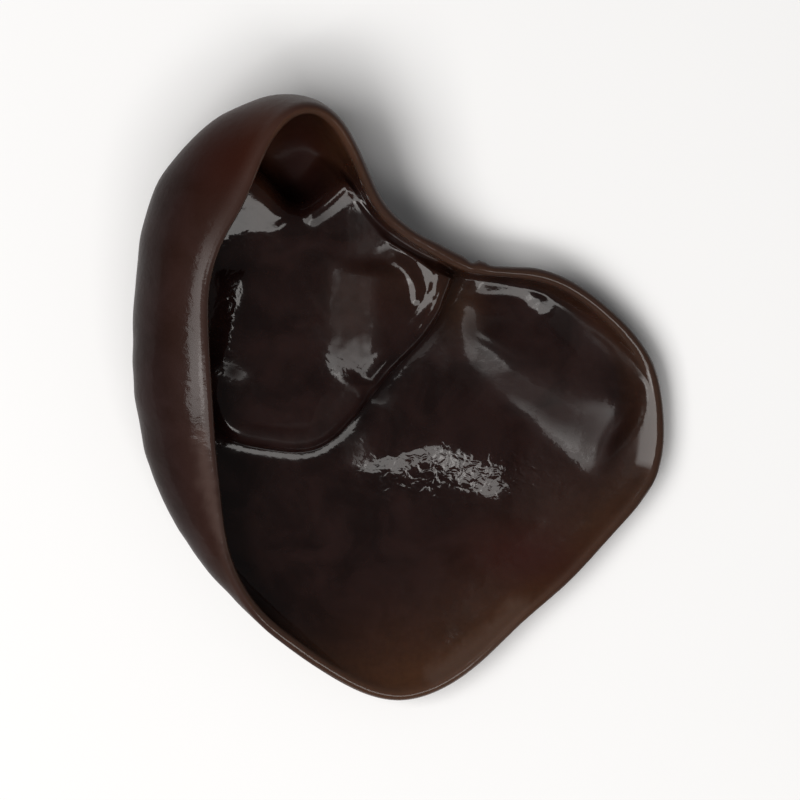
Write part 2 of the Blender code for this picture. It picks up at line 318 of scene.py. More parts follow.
@dataclass(frozen=True)
class Sheet:
    """The ear's plain sheet: a floor with walls that rise and curl round it."""

    outline: tuple[Station, ...] = (
        Station(29.4, -2.6, 3.8, 6.6, -39),  # right side
        Station(27.9, 3.8, 4.3, 3.2, -24),
        Station(23.2, 9.5, 5.2, 2.4, -14),
        Station(16.4, 13.7, 6.2, 1.5, -6),
        Station(9.0, 14.8, 7.4, 0.9, -4),
        Station(4.2, 16.8, 8.8, 1.6, -4),  # notch
        Station(-1.0, 20.4, 10.8, 1.5, -6),
        Station(-3.9, 25.2, 13.2, 2.0, -4),
        Station(-6.9, 30.6, 15.4, 3.6, 6),
        Station(-12.0, 32.9, 16.6, 5.6, 40),  # tip
        Station(-19.2, 30.3, 16.8, 7.4, 78),
        Station(-25.0, 24.4, 16.2, 8.6, 82),
        Station(-27.6, 17.0, 15.2, 7.2, 86),
        Station(-28.3, 9.4, 14.4, 6.5, 91),  # left wall
        Station(-28.2, 1.6, 13.4, 6.4, 92),
        Station(-26.8, -6.2, 12.0, 6.1, 87),
        Station(-23.8, -13.4, 10.0, 5.6, 73),
        Station(-19.2, -20.0, 8.0, 5.2, 40),
        Station(-13.1, -26.1, 6.2, 5.6, 0),
        Station(-6.5, -31.0, 5.0, 6.4, -24),
        Station(0.4, -33.2, 4.4, 7.0, -38),  # lower end
        Station(7.5, -30.3, 4.4, 7.0, -38),
        Station(13.3, -25.0, 4.4, 6.6, -36),
        Station(18.7, -20.3, 4.3, 6.2, -34),
        Station(23.8, -14.9, 4.1, 6.0, -34),
        Station(28.3, -9.1, 3.9, 6.0, -38),
    )
    heart: tuple[float, float] = (-2.8, -2.9)  # middle of the hollow
    flesh: float = 1.8
    margin_flesh: float = 1.3
    thinning: float = 0.7  # share of the coin's radius beyond which the flesh thins
    edge_flesh: float = 1.4
    bed: float = 1.5  # height of the floor
    bowl: float = 1.6  # lift of the sheet from the middle to the margin
    bowl_power: float = 4.0
    gather: float = 0.5  # turn of the walls towards the heart
    floor_gather: float = 0.7  # and of the floor's meridians
    spread: float = 20.0  # first control arm of a floor meridian
    lead: float = 0.26  # last control arm, as a share of its length
    evening: float = 0.6  # how far the meridians take the stations' own directions
    slope_step: float = 2e-3  # distance on the coin over which the slope is taken

    def curves(self) -> dict[str, Callable[[Points], Points]]:
        """Makes the closed curves through the stations' values, in metres and radians."""
        made = {name: closed_curve([getattr(s, name) * MM for s in self.outline]) for name in ("x", "y")}
        made["rise"] = closed_curve([s.rise * MM for s in self.outline])
        made["depth"] = closed_curve([s.depth * MM for s in self.outline])
        made["curl"] = closed_curve([math.radians(s.curl) for s in self.outline])
        lags = []
        for k, station in enumerate(self.outline):
            angle = math.atan2(station.y - self.heart[1], station.x - self.heart[0])
            lags.append(k / len(self.outline) - angle / (2 * math.pi) % 1)
        made["lag"] = closed_curve(lags)
        return made

    def lay(self, places: Points) -> tuple[Points, Points, Points]:
        """Carries places of the coin's face onto the plain sheet.

        Args:
            places: Places in the unit disc.

        Returns:
            The places in space, the places on the sheet laid flat, and how far up the wall they are,
            from 0 at its foot to 1 at the margin.
        """
        curve = self.curves()
        radius = np.linalg.norm(places, axis=-1)
        angle = np.arctan2(places[:, 1], places[:, 0])
        turns = (angle / (2 * math.pi)) % 1.0
        turns = turns + self.evening * curve["lag"](turns)
        curl, depth, rise = curve["curl"](turns), curve["depth"](turns), curve["rise"](turns)
        heart = np.array(self.heart) * MM

        edge = np.stack([curve["x"](turns), curve["y"](turns)], -1)
        step = 0.5 / len(self.outline)
        behind = np.stack([curve["x"](turns - step), curve["y"](turns - step)], -1)
        ahead = np.stack([curve["x"](turns + step), curve["y"](turns + step)], -1)
        across = turned_left(unit(ahead - behind))
        inward = unit((1 - self.gather) * across + self.gather * unit(heart - edge))
        shown = np.cos(np.minimum(curl, 0))
        foot = edge + inward * ((self.edge_flesh * MM + depth) * shown)[:, None]

        floor_run = np.linalg.norm(foot - heart, axis=-1)
        high = (rise - (self.bed + self.bowl) * MM) / (1 + np.sin(np.minimum(curl, math.pi / 2)))
        wall_run = (curl + math.pi / 2) * (high + depth) / 2
        floor_share = floor_run / (floor_run + wall_run)

        out = np.stack([np.cos(angle), np.sin(angle)], -1)
        s = np.clip(radius / floor_share, 0, 1)[:, None]
        b = heart + out * (self.spread * MM * floor_share)[:, None]
        homeward = unit((1 - self.floor_gather) * inward + self.floor_gather * unit(heart - foot))
        c = foot + homeward * (floor_run * self.lead)[:, None]
        floor = (1 - s) ** 3 * heart + 3 * s * (1 - s) ** 2 * b + 3 * s**2 * (1 - s) * c + s**3 * foot

        up_wall = np.maximum(radius - floor_share, 0) / (1 - floor_share)
        bend = (curl + math.pi / 2) * up_wall - math.pi / 2
        plan = floor - inward * (depth * np.cos(bend))[:, None]
        lift = (self.bed + self.bowl * radius**self.bowl_power) * MM
        flat = floor - inward * (wall_run * up_wall)[:, None]
        return np.column_stack([plan, lift + high * (1 + np.sin(bend))]), flat, up_wall

    def normals(self, places: Points) -> Points:
        """Gives the plain sheet's normals, out of the hollow, at places of the coin's face."""
        step = self.slope_step
        x = self.lay(places + [step, 0])[0] - self.lay(places - [step, 0])[0]
        y = self.lay(places + [0, step])[0] - self.lay(places - [0, step])[0]
        return unit(np.cross(x, y))

    def thickness(self, places: Points) -> Points:
        """Gives the flesh's thickness at places of the coin's face."""
        radius = np.linalg.norm(places, axis=-1)
        thinned = smoothstep((radius - self.thinning) / (1 - self.thinning))
        return (self.flesh + (self.margin_flesh - self.flesh) * thinned) * MM


@dataclass(frozen=True)
class Pleat:
    """The swollen pleat that stands over the hollow, and the hollow under it in the back."""

    foot_line: tuple[Flank, ...] = (
        Flank(-23.5, 5.5, 3.2, 0.1),
        Flank(-19.8, -2.6, 2.4, 0.45),  # lower edge, over the field
        Flank(-14.6, -4.9, 2.0, 0.62),
        Flank(-9.2, -5.0, 2.0, 0.64),
        Flank(-5.0, -1.6, 2.2, 0.6),
        Flank(-1.6, 2.8, 2.2, 0.58),
        Flank(2.4, 6.8, 2.0, 0.52),
        Flank(5.0, 11.3, 1.8, 0.35),  # knob beside the notch
        Flank(6.4, 17.4, 2.4, 0.0),
        Flank(2.2, 22.8, 2.6, 0.0),  # merges with the wall
        Flank(-3.5, 26.6, 2.4, 0.0),
        Flank(-7.9, 23.8, 2.1, 0.2),
        Flank(-11.4, 21.3, 2.0, 0.35),  # upper edge, over the funnel of the tip
        Flank(-15.4, 25.0, 2.1, 0.2),
        Flank(-21.0, 25.0, 3.4, 0.0),
        Flank(-26.0, 15.6, 4.0, 0.0),
    )
    height: float = 5.4
    tuck_end: float = 0.3  # how far up the walls the tuck has faded out
    back_inset: float = 1.7
    back_slack: float = 1.35
    back_rise: float = 0.78
    lip_height: float = 0.35  # the fine lip along the crest of the flank
    lip_width: float = 0.5
    lip_place: float = 0.75  # how far in from the foot line it runs, in half-widths of the flank
    lip_tuck: tuple[float, float] = (0.3, 0.5)  # tucks at which it starts and is full

    def walk(self) -> Walk:
        """Gives the closed walk along the foot line."""
        turns = np.linspace(0, 1, 12 * len(self.foot_line) + 1)
        x = closed_curve([f.x * MM for f in self.foot_line])(turns)
        y = closed_curve([f.y * MM for f in self.foot_line])(turns)
        return Walk(np.stack([x, y], -1))

    def measure(self, flat: Points) -> tuple[Points, Points, Points, Points]:
        """Measures places on the sheet laid flat against the foot line.

        Args:
            flat: Places on the sheet laid flat.

        Returns:
            Signed distances, inside positive, half-widths, tucks, and the normals into the pleat.
        """
        walk = self.walk()
        distance, along, side = walk.measure(flat)
        turns = along / walk.length()
        half = closed_curve([f.half * MM for f in self.foot_line])(turns)
        tuck = closed_curve([f.tuck for f in self.foot_line])(turns)
        return distance, half, tuck, side

    def move(self, flat: Points, up_wall: Points, face: Face) -> tuple[Points, Points]:
        """Gives the sheet's rise over the pleat and its shift sideways.

        Args:
            flat: Places on the sheet laid flat.
            up_wall: How far up the wall they are.
            face: Which face is moved. The back follows more loosely, and isn't tucked under.

        Returns:
            The rise and the shift of each place.
        """
        distance, half, tuck, side = self.measure(flat)
        if face is Face.BACK:
            slope = smoothstep(((distance - self.back_inset * MM) / (half * self.back_slack) + 1) / 2)
            return self.back_rise * self.height * MM * slope, np.zeros_like(side)
        u = np.clip(distance / half, -1, 1)
        from_lip = (distance - self.lip_place * half) / (self.lip_width * MM)
        hold = 1 - smoothstep(up_wall / self.tuck_end)
        lip = self.lip_height * MM * np.exp(-(from_lip**2)) * between(tuck, *self.lip_tuck) * hold
        shift = -side * (tuck * half * np.sin(math.pi * u) * hold)[:, None]
        return self.height * MM * smoothstep((u + 1) / 2) + lip, shift


@dataclass(frozen=True)
class Base:
    """The short base by which the ear grew, thick in flesh and cut off level."""

    x: float = 5.6
    y: float = 8.6
    radius: float = 3.2
    edge: float = 2.6  # width of the rounded shoulder round the cut
    mound_height: float = 0.8
    mound_radius: float = 6.5
    folds: int = 11  # wrinkles drawn in to the base
    fold_ring: float = 2.2  # size of the ring on which their spacing is drawn
    fold_wander: float = 2.4  # how unevenly they are spaced
    fold_sway: float = 0.5  # how far they sway on their way out
    fold_sway_wave: float = 4.0
    fold_start: float = 0.8  # share of the cut's radius at which they start
    fold_height: float = 0.04
    back_fold_height: float = 0.5
    fold_reach: float = 9.0
    cut_edge: float = 0.8  # how far the cut's colour fades outwards
    cut_level: float = 0.4  # and upwards

    def away(self, flat: Points) -> Points:
        """Gives the distance from the base of places on the sheet laid flat."""
        return np.linalg.norm(flat - np.array([self.x, self.y]) * MM, axis=-1)

    def mound(self, flat: Points) -> Points:
        """Gives the rise of the flesh over the base."""
        return self.mound_height * MM * np.exp(-((self.away(flat) / (self.mound_radius * MM)) ** 2))

    def stub(self, flat: Points, flesh: float) -> Points:
        """Gives how far the back reaches down at the base."""
        shoulder = smoothstep(((self.radius + self.edge) * MM - self.away(flat)) / (self.edge * MM))
        return (self.mound_height + flesh) * MM * shoulder

    def cut(self, points: Points) -> Points:
        """Gives 1 on the level cut and 0 off it, at points in metres."""
        beyond = self.away(points[:, :2]) / MM - self.radius
        level = 1 - smoothstep(points[:, 2] / (self.cut_level * MM))
        return (1 - smoothstep(beyond / self.cut_edge)) * level

    def wrinkles(self, flat: Points) -> Points:
        """Gives the wrinkles drawn in to the base, between -1 and 1, strongest round the cut."""
        from_base = flat / MM - [self.x, self.y]
        angle = np.arctan2(from_base[:, 1], from_base[:, 0])
        away = np.linalg.norm(from_base, axis=-1)
        ring = np.column_stack([np.cos(angle), np.sin(angle)]) * self.fold_ring
        wander = self.fold_wander * ripple(ring, 1.0, 3.0)
        sway = self.fold_sway * ripple(flat / MM, self.fold_sway_wave, 7.0)
        wave = np.sin(self.folds * angle + wander + sway)
        start = self.fold_start * self.radius
        near = between(away, start, 2 * start)
        return wave * near * np.exp(-((away / self.fold_reach) ** 2))


@dataclass(frozen=True)
class Relief:
    """The forms of the flesh over the plain sheet, from broad swellings to fine lines and ripples."""

    swellings: tuple[Ridge, ...] = (
        # back of the pleat, from the knob down to the lower edge
        Ridge(((-2.6, 15.6), (-2.7, 11.0), (-2.6, 7.0), (-3.2, 3.6), (-5.0, 0.8)),
              1.1, 3.0, 5.5, 2.4),
        # right-hand lobe, swept round from the notch
        Ridge(((8.7, 11.4), (9.4, 7.4), (11.2, 5.0), (14.6, 2.8), (19.4, 0.4), (25.6, -2.6)),
              0.33, 5.0, 1.9, 2.0, 4.6),
        # step across the field, below the pleat
        Ridge(((-6.0, -6.8), (-0.8, -6.0), (3.8, -4.6), (8.4, -6.0), (13.6, -8.2)),
              0.28, 4.0, 1.5, 3.4, 3.3),
    )
    welts: tuple[Ridge, ...] = (
        # rim of the knob
        Ridge(((-4.4, 14.4), (-3.7, 15.9), (-2.4, 16.8), (-0.6, 17.2), (1.8, 16.2), (3.3, 13.8),
               (3.6, 11.2), (3.2, 8.8), (2.4, 7.2)), 0.17, 0.8, 1.0, 3.0),
        # inner fold of the knob
        Ridge(((-1.4, 15.4), (0.6, 14.2), (1.5, 12.4), (1.7, 10.0)), 0.2, 0.7, 0.75, 1.0),
        # lip of the funnel in the tip
        Ridge(((-10.7, 19.6), (-7.5, 22.0), (-4.2, 25.4)), 0.42, 1.0, 2.0, 1.2, 1.3),
        # shoulder between the funnel and the roll
        Ridge(((-18.6, 24.2), (-15.2, 22.2), (-11.6, 19.4)), 1.6, 1.6, 10.4, 1.2, 0.2),
        # slope down to the roll
        Ridge(((-16.2, 15.0), (-16.6, 11.0), (-17.8, 7.0), (-19.8, 2.6)), 0.75, 3.0, 3.9, 2.4, 0.5),
        # step inside the lip beside the notch
        Ridge(((8.3, 12.9), (10.2, 12.5), (13.4, 12.0), (15.0, 10.9), (16.4, 9.6)),
              0.24, 1.5, 1.7, 1.0, 0.9),
    )
    lines: tuple[Line, ...] = (
        # fine line inside the right-hand lip
        Line(((20.2, 7.3), (21.8, 6.2), (23.4, 4.6)), 0.12, 0.35, 1.0),
    )
    undulation: float = 0.07  # slack waves of the inner face
    undulation_wave: float = 7.0
    pucker: float = 0.005
    pucker_wave: float = 1.7
    back_undulation: float = 0.1
    back_undulation_wave: float = 6.0
    back_folds: float = 0.1  # fine folds that run up the back
    back_fold_count: float = 11.0  # how many to a radian
    back_fold_drift: float = 3.0  # how far they drift on their way up
    back_fold_full: float = 0.4  # share of the coin's radius from which they are full
    fade: float = 0.25  # share of the coin's radius over which the waves fade out before the margin
    fine_end: float = 0.9  # how far up the walls the fine forms have faded out

    def rise(self, ridges: tuple[Ridge, ...], flat: Points) -> Points:
        """Gives the summed height of ridges at places on the sheet laid flat."""
        total = np.zeros(len(flat))
        for ridge in ridges:
            walk = Walk(open_curve(ridge.line))
            distance, along, _ = walk.measure(flat)
            grown = 1 + (ridge.flare - 1) * along / walk.length()
            left = np.exp(-((distance / (ridge.left * MM)) ** 2))
            right = 1 - even_ramp(-distance / (ridge.right * MM * grown))
            profile = np.where(distance > 0, left, right)
            total += ridge.height * MM * grown * profile * self.ends(along, walk.length(), ridge.fade)
        return total

    def ends(self, along: Points, length: float, fade: float) -> Points:
        """Gives 1 along a line and 0 at its ends, with fades of the given millimetres."""
        return smoothstep(along / (fade * MM)) * smoothstep((length - along) / (fade * MM))

    def fine_lines(self, flat: Points) -> Points:
        """Gives the summed height of the fine lines at places on the sheet laid flat."""
        total = np.zeros(len(flat))
        for line in self.lines:
            walk = Walk(open_curve(line.route))
            distance, along, _ = walk.measure(flat)
            profile = np.exp(-((distance / (line.width * MM)) ** 2))
            total += line.height * MM * profile * self.ends(along, walk.length(), line.fade)
        return total

    def waves(self, places: Points, flat: Points, face: Face) -> Points:
        """Gives the height of the slack waves and ripples.

        Args:
            places: Places in the unit disc.
            flat: The same places on the sheet laid flat.
            face: The face that is waved.

        Returns:
            Heights along the face's own normal.
        """
        radius = np.linalg.norm(places, axis=-1)
        calm = smoothstep((1 - radius) / self.fade)
        if face is Face.HOLLOW:
            broad = self.undulation * ripple(flat / MM, self.undulation_wave, 1.0)
            small = self.pucker * ripple(flat / MM, self.pucker_wave, 5.0)
            return (broad + small) * MM * calm
        broad = self.back_undulation * ripple(flat / MM, self.back_undulation_wave, 2.0)
        around = unit(places + 1e-9) * self.back_fold_count
        drift = radius * self.back_fold_drift
        folds = self.back_folds * ripple(np.column_stack([around, drift]), 1.0, 0.0)
        return (broad + folds * smoothstep(radius / self.back_fold_full)) * MM * calm


@dataclass
class EarForm:
    """The whole form: carries the coin into the ear."""

    sheet: Sheet = field(default_factory=Sheet)
    pleat: Pleat = field(default_factory=Pleat)
    base: Base = field(default_factory=Base)
    relief: Relief = field(default_factory=Relief)

    def carry(self, places: Points, through: Points) -> Points:
        """Carries places of the coin into the ear.

        Args:
            places: Places in the unit disc.
            through: How far through the thickness they are, 0 in the hollow and 1 on the back.

        Returns:
            The places in space.
        """
        plain, flat, up_wall = self.sheet.lay(places)
        normal = self.sheet.normals(places)
        hold = 1 - smoothstep(up_wall)
        mound = self.base.mound(flat)
        swell = mound + self.relief.rise(self.relief.swellings, flat)
        wrinkle = self.base.wrinkles(flat) * MM

        rise, shift = self.pleat.move(flat, up_wall, Face.HOLLOW)
        fine = self.relief.fine_lines(flat) + self.base.fold_height * wrinkle
        fine = fine + self.relief.waves(places, flat, Face.HOLLOW)
        inner = plain + normal * (fine * (1 - smoothstep(up_wall / self.relief.fine_end)))[:, None]
        inner[:, 2] += (rise + swell + self.relief.rise(self.relief.welts, flat)) * hold
        inner[:, :2] += shift

        rise, _ = self.pleat.move(flat, up_wall, Face.BACK)
        coarse = self.base.back_fold_height * wrinkle + self.relief.waves(places, flat, Face.BACK)
        back = plain - normal * (self.sheet.thickness(places) - coarse)[:, None]
        back[:, 2] += (rise + swell) * hold - self.base.stub(flat, self.sheet.flesh)

        points = inner + (back - inner) * through[:, None]
        points[:, 2] = np.maximum(points[:, 2], 0)
        return points


class Nodes:
    """A small board on which a material's nodes are laid and wired."""

    def __init__(self, name: str) -> None:
        """Makes a material and keeps its tree and shader.

        Args:
            name: The material's name.
        """
        self.material = bpy.data.materials.new(name)
        self.material.use_nodes = True
        self.tree = self.material.node_tree
        self.shader = self.tree.nodes["Principled BSDF"]
        places = self.tree.nodes.new("ShaderNodeTexCoord")
        self.mapping = self.tree.nodes.new("ShaderNodeMapping")
        self.mapping.inputs["Scale"].default_value = (1 / MM, 1 / MM, 1 / MM)
        self.tree.links.new(places.outputs["Object"], self.mapping.inputs["Vector"])

    def wire(self, value: object, socket: bpy.types.NodeSocket) -> None:
        """Links a socket to another, or sets it to a plain value."""
        if isinstance(value, bpy.types.NodeSocket):
            self.tree.links.new(value, socket)
        else:
            socket.default_value = value

    def noise(self, scale: float, detail: float = 2.0, rough: float = 0.5,
              warp: float = 0.0) -> bpy.types.NodeSocket:
        """Adds a noise pattern on the object's own coordinates.

        Args:
            scale: Swells to a millimetre.
            detail: Octaves of finer noise.
            rough: Strength of the finer octaves.
            warp: Distortion of the pattern.

        Returns:
            The noise's value, around 0.5.
        """
        node = self.tree.nodes.new("ShaderNodeTexNoise")
        node.inputs["Scale"].default_value = scale
        node.inputs["Detail"].default_value = detail
        node.inputs["Roughness"].default_value = rough
        node.inputs["Distortion"].default_value = warp
        self.tree.links.new(self.mapping.outputs["Vector"], node.inputs["Vector"])
        return node.outputs["Fac"]

    def attribute(self, name: str) -> bpy.types.NodeSocket:
        """Reads one of the piece's own attributes."""
        node = self.tree.nodes.new("ShaderNodeAttribute")
        node.attribute_name = name
        return node.outputs["Fac"]

    def spread(self, value: bpy.types.NodeSocket, low: float, high: float,
               to_low: float = 0.0, to_high: float = 1.0) -> bpy.types.NodeSocket:
        """Maps a value's range onto another, clamped.

        Args:
            value: The value.
            low: What maps to to_low.
            high: What maps to to_high.
            to_low: The start of the new range.
            to_high: The end of the new range.

        Returns:
            The mapped value.
        """
        node = self.tree.nodes.new("ShaderNodeMapRange")
        self.tree.links.new(value, node.inputs["Value"])
        for name, number in zip(("From Min", "From Max", "To Min", "To Max"), (low, high, to_low, to_high)):
            node.inputs[name].default_value = number
        return node.outputs["Result"]

    def math(self, kind: str, a: object, b: object) -> bpy.types.NodeSocket:
        """Adds one sum or product of two values."""
        node = self.tree.nodes.new("ShaderNodeMath")
        node.operation = kind
        self.wire(a, node.inputs[0])
        self.wire(b, node.inputs[1])
        return node.outputs["Value"]

    def blend(self, a: object, b: object, share: bpy.types.NodeSocket) -> bpy.types.NodeSocket:
        """Blends two colours.

        Args:
            a: The colour, or its socket, where share is 0.
            b: The colour, or its socket, where share is 1.
            share: The share of b.

        Returns:
            The blended colour.
        """
        node = self.tree.nodes.new("ShaderNodeMix")
        node.data_type = "RGBA"
        self.tree.links.new(share, node.inputs["Factor"])
        for name, colour in (("A", a), ("B", b)):
            socket = next(s for s in node.inputs if s.name == name and s.type == "RGBA")
            self.wire((*colour, 1.0) if isinstance(colour, tuple) else colour, socket)
        return next(s for s in node.outputs if s.type == "RGBA")

    def bump(self, height: bpy.types.NodeSocket, depth: float, strength: float,
             under: bpy.types.NodeSocket | None = None) -> bpy.types.NodeSocket:
        """Adds a bump.

        Args:
            height: Its height pattern.
            depth: The depth of the pattern in millimetres.
            strength: How much of it is seen.
            under: The bump that it lies on.

        Returns:
            The bumped normal.
        """
        node = self.tree.nodes.new("ShaderNodeBump")
        node.inputs["Strength"].default_value = strength
        node.inputs["Distance"].default_value = depth * MM
        self.tree.links.new(height, node.inputs["Height"])
        if under:
            self.tree.links.new(under, node.inputs["Normal"])
        return node.outputs["Normal"]

    def set(self, **values: object) -> None:
        """Sets or links the shader's sockets, named in words joined by underscores."""
        for name, value in values.items():
            self.wire(value, self.shader.inputs[name.replace("_", " ").title().replace("Ior", "IOR")])


@dataclass(frozen=True)
class WetHollow:
    """The smooth wet inner face: nearly black jelly, with a painted amber glow where light gets through the
    thin flesh and a painted soft highlight along its lower margin.
    """

    deep: Colour = (0.0075, 0.0030, 0.0026)
    field: Colour = (0.0160, 0.0070, 0.0062)
    # painted glow: an amber colour that stands in for light getting through the thin flesh
    amber_glow: Colour = (0.0720, 0.0290, 0.0130)
    # paler edge colour, and the colour of the painted soft highlight along the lower margin
    margin: Colour = (0.0750, 0.0430, 0.0310)
    ruddy: Colour = (0.0275, 0.0060, 0.0045)
    film_roughness: float = 0.06
    drained_roughness: float = 0.3  # added where the water has run off

    def material(self) -> bpy.types.Material:
        """Builds the finish and gives its material."""
        board = Nodes("wet_hollow")
        blotch = board.spread(board.noise(0.16, detail=3, rough=0.55, warp=0.6), 0.38, 0.62)
        speck = board.spread(board.noise(1.4, detail=3, rough=0.6), 0.35, 0.7)
        dark = board.blend(self.deep, self.field, blotch)
        # painted glow of light through the thin flesh, broken up by a speckle
        thickness = board.spread(speck, 0, 1, to_low=0.78)
        thin = board.math("MULTIPLY", board.attribute("amber_glow"), thickness)
        clear = board.blend(board.blend(dark, self.amber_glow, thin), self.ruddy, board.attribute("ruddy"))
        # paler edge, and painted soft highlight along the lower margin
        colour = board.blend(clear, self.margin, board.attribute("rim_and_sheen"))

        swell = board.bump(board.noise(0.45), depth=0.06, strength=1.0)
        grain = board.bump(board.noise(3.0, detail=3, rough=0.55), depth=0.008, strength=1.0, under=swell)
        pucker = board.noise(1.0, detail=1.5, warp=0.5)
        crinkle = board.math("MULTIPLY", pucker, board.attribute("crinkle"))
        skin = board.bump(crinkle, depth=0.3, strength=1.0, under=grain)
        drained = board.attribute("drained")
        smear = board.spread(board.noise(0.8, detail=3), 0.3, 0.7, to_low=0.13, to_high=0.24)
        board.set(
            base_color=colour,
            roughness=board.math("ADD", smear, board.math("MULTIPLY", drained, self.drained_roughness)),
            ior=JELLY_IOR,
            specular_ior_level=0.08,
            coat_weight=board.math("SUBTRACT", 1.0, drained),
            coat_roughness=self.film_roughness,
            coat_ior=WATER_IOR,
            subsurface_weight=0.12,
            subsurface_radius=(1.0, 0.35, 0.15),
            subsurface_scale=1.2 * MM,
            normal=skin,
            coat_normal=skin,
        )
        return board.material


@dataclass(frozen=True)
class FeltedBack:
    """The outer face: finely felted, greyer and less glossy, with a wet film in its low places, a painted
    amber glow where light gets through the thin flesh and a painted soft highlight along the roll's margin.
    """

    dark: Colour = (0.0130, 0.0055, 0.0044)
    dusky: Colour = (0.0195, 0.0094, 0.0086)
    # painted glow: an amber colour that stands in for light getting through the thin flesh
    amber_glow: Colour = (0.0500, 0.0155, 0.0070)
    # paler edge colour, and the colour of the painted soft highlight along the roll's margin
    margin: Colour = (0.0720, 0.0440, 0.0370)
    ruddy: Colour = (0.0265, 0.0065, 0.0040)
    cut: Colour = (0.1100, 0.0640, 0.0380)

    def material(self) -> bpy.types.Material:
        """Builds the finish and gives its material."""
        board = Nodes("felted_back")
        blotch = board.spread(board.noise(0.2, detail=4, rough=0.6, warp=0.5), 0.36, 0.64)
        felt = board.spread(board.noise(6.5, rough=0.6), 0.3, 0.7)
        base = board.blend(self.dark, self.dusky, blotch)
        # painted glow of light through the thin flesh, broken up by the felt
        thickness = board.spread(felt, 0, 1, to_low=0.7)
        thin = board.math("MULTIPLY", board.attribute("amber_glow"), thickness)
        clear = board.blend(board.blend(base, self.amber_glow, thin), self.ruddy, board.attribute("ruddy"))
        # paler edge, and painted soft highlight along the roll's margin
        rimmed = board.blend(clear, self.margin, board.attribute("rim_and_sheen"))
        colour = board.blend(rimmed, self.cut, board.attribute("cut"))

        creases = board.noise(0.7, detail=3, rough=0.55, warp=0.4)
        folds = board.bump(creases, depth=0.25, strength=0.2)
        nap = board.bump(board.noise(7.0, rough=0.6), depth=0.03, strength=0.6, under=folds)
        board.set(
            base_color=colour,
            roughness=board.spread(felt, 0, 1, to_low=0.36, to_high=0.5),
            ior=JELLY_IOR,
            specular_ior_level=0.06,
            coat_weight=board.attribute("film"),
            coat_roughness=0.13,
            coat_ior=WATER_IOR,
            sheen_weight=0.02,
            sheen_roughness=0.4,
            sheen_tint=(0.75, 0.62, 0.60, 1.0),
            normal=nap,
            coat_normal=folds,
        )
        return board.material


@dataclass(frozen=True)
class PaleTable:
    """The plain pale surface that the ear lies on."""

    colour: Colour = (0.970, 0.975, 0.985)
    shade: Colour = (0.955, 0.960, 0.970)

    def material(self) -> bpy.types.Material:
        """Builds the finish and gives its material."""
        board = Nodes("pale_table")
        board.set(
            base_color=board.blend(self.colour, self.shade, board.noise(0.02)),
            roughness=0.7,
            specular_ior_level=0.2,
        )
        return board.material


def bare_selection() -> None:
    """Deselects every object, in object mode."""
    if bpy.context.object and bpy.context.object.mode != "OBJECT":
        bpy.ops.object.mode_set(mode="OBJECT")
    bpy.ops.object.select_all(action="DESELECT")


